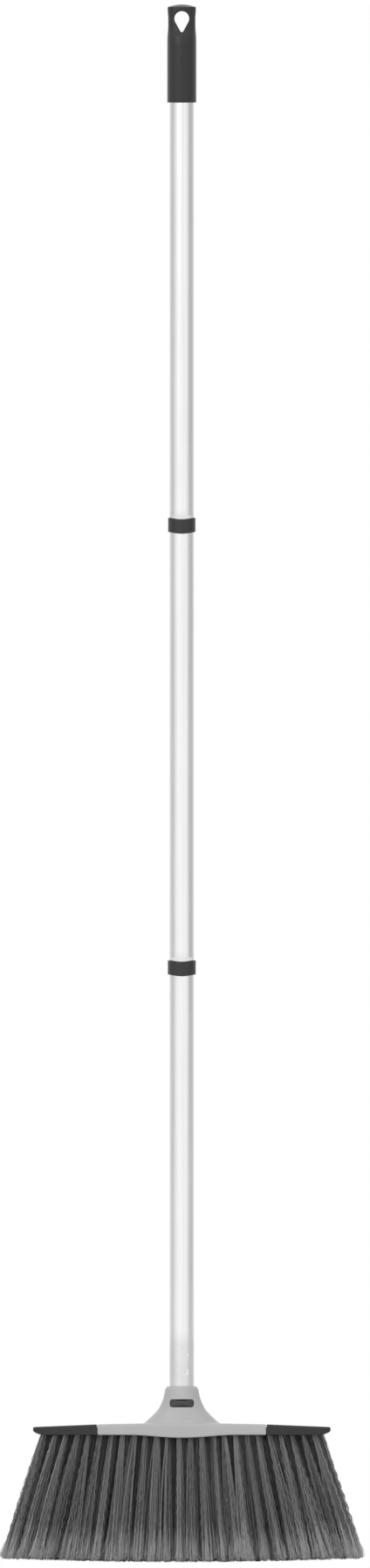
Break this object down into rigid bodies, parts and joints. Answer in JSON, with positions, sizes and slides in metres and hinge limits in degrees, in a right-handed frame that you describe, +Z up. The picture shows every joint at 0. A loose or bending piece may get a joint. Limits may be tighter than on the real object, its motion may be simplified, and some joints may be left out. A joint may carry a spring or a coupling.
{
  "type": "upright broom",
  "caption": "Upright broom: a wide fan of bristle tufts in a moulded head with soft end bumpers, and a slim steel handle in screw-together sections with dark collars and a hanging eye.",
  "frame": {"origin": "floor level under the handle's axis, at the middle of the bristle tips", "axes": "+X across the head to the right as seen from the front, +Y towards the back, +Z up the handle"},
  "size_m": [0.3276, 0.074, 1.403],
  "materials": {
    "shell_grey": "satin moulded grey plastic",
    "badge_dark": "plain dark inlay",
    "block_dark": "dark moulded plate",
    "bumper_rubber": "soft matte dark grey",
    "bristle": "dark grey crimped filaments with flagged tips",
    "plug_dark": "moulded dark plastic with a coarse thread",
    "tube_steel": "satin steel tube",
    "collar_dark": "dark grey moulded plastic",
    "grip_dark": "soft dark grey moulding"
  },
  "bodies": {
    "head": {"head_shell": "shell_grey", "front_badge": "badge_dark", "bristle_block": "block_dark", "left_bumper": "bumper_rubber", "right_bumper": "bumper_rubber", "tuft_line_01": "bristle", "tuft_line_02": "bristle", "tuft_line_03": "bristle", "tuft_line_04": "bristle", "tuft_line_05": "bristle", "tuft_line_06": "bristle", "tuft_line_07": "bristle", "tuft_line_08": "bristle", "tuft_line_09": "bristle", "tuft_line_10": "bristle", "tuft_line_11": "bristle", "tuft_line_12": "bristle", "tuft_line_13": "bristle", "tuft_line_14": "bristle", "tuft_line_15": "bristle", "tuft_line_16": "bristle", "tuft_line_17": "bristle", "tuft_line_18": "bristle", "tuft_line_19": "bristle", "tuft_line_20": "bristle", "tuft_line_21": "bristle", "tuft_line_22": "bristle", "tuft_line_23": "bristle", "tuft_line_24": "bristle", "tuft_line_25": "bristle"},
    "lower_thread": {"lower_plug": "plug_dark"},
    "lower_section": {"lower_tube": "tube_steel", "lower_collar": "collar_dark"},
    "middle_thread": {"middle_plug": "plug_dark"},
    "middle_section": {"middle_tube": "tube_steel", "upper_collar": "collar_dark"},
    "upper_thread": {"upper_plug": "plug_dark"},
    "upper_section": {"upper_tube": "tube_steel", "end_grip": "grip_dark"}
  },
  "joints": [
    {"name": "lower_section_rise", "type": "slide", "parent": "head", "child": "lower_thread", "axis": [0, 0, 1], "range_m": [0, 0.0151]},
    {"name": "lower_section_turn", "type": "hinge", "parent": "lower_thread", "child": "lower_section", "pos_m": [0, 0, 0.1526], "axis": [0, 0, 1], "range_deg": [0, 1080]},
    {"name": "middle_section_rise", "type": "slide", "parent": "lower_section", "child": "middle_thread", "axis": [0, 0, 1], "range_m": [0, 0.0151]},
    {"name": "middle_section_turn", "type": "hinge", "parent": "middle_thread", "child": "middle_section", "pos_m": [0, 0, 0.5397], "axis": [0, 0, 1], "range_deg": [0, 1080]},
    {"name": "upper_section_rise", "type": "slide", "parent": "middle_section", "child": "upper_thread", "axis": [0, 0, 1], "range_m": [0, 0.0151]},
    {"name": "upper_section_turn", "type": "hinge", "parent": "upper_thread", "child": "upper_section", "pos_m": [0, 0, 0.9381], "axis": [0, 0, 1], "range_deg": [0, 1080]}
  ],
  "couplings": [
    {"joint": "lower_section_rise", "follows": "lower_section_turn", "m_per_rad": 0.00079577},
    {"joint": "middle_section_rise", "follows": "middle_section_turn", "m_per_rad": 0.00079577},
    {"joint": "upper_section_rise", "follows": "upper_section_turn", "m_per_rad": 0.00079577}
  ]
}
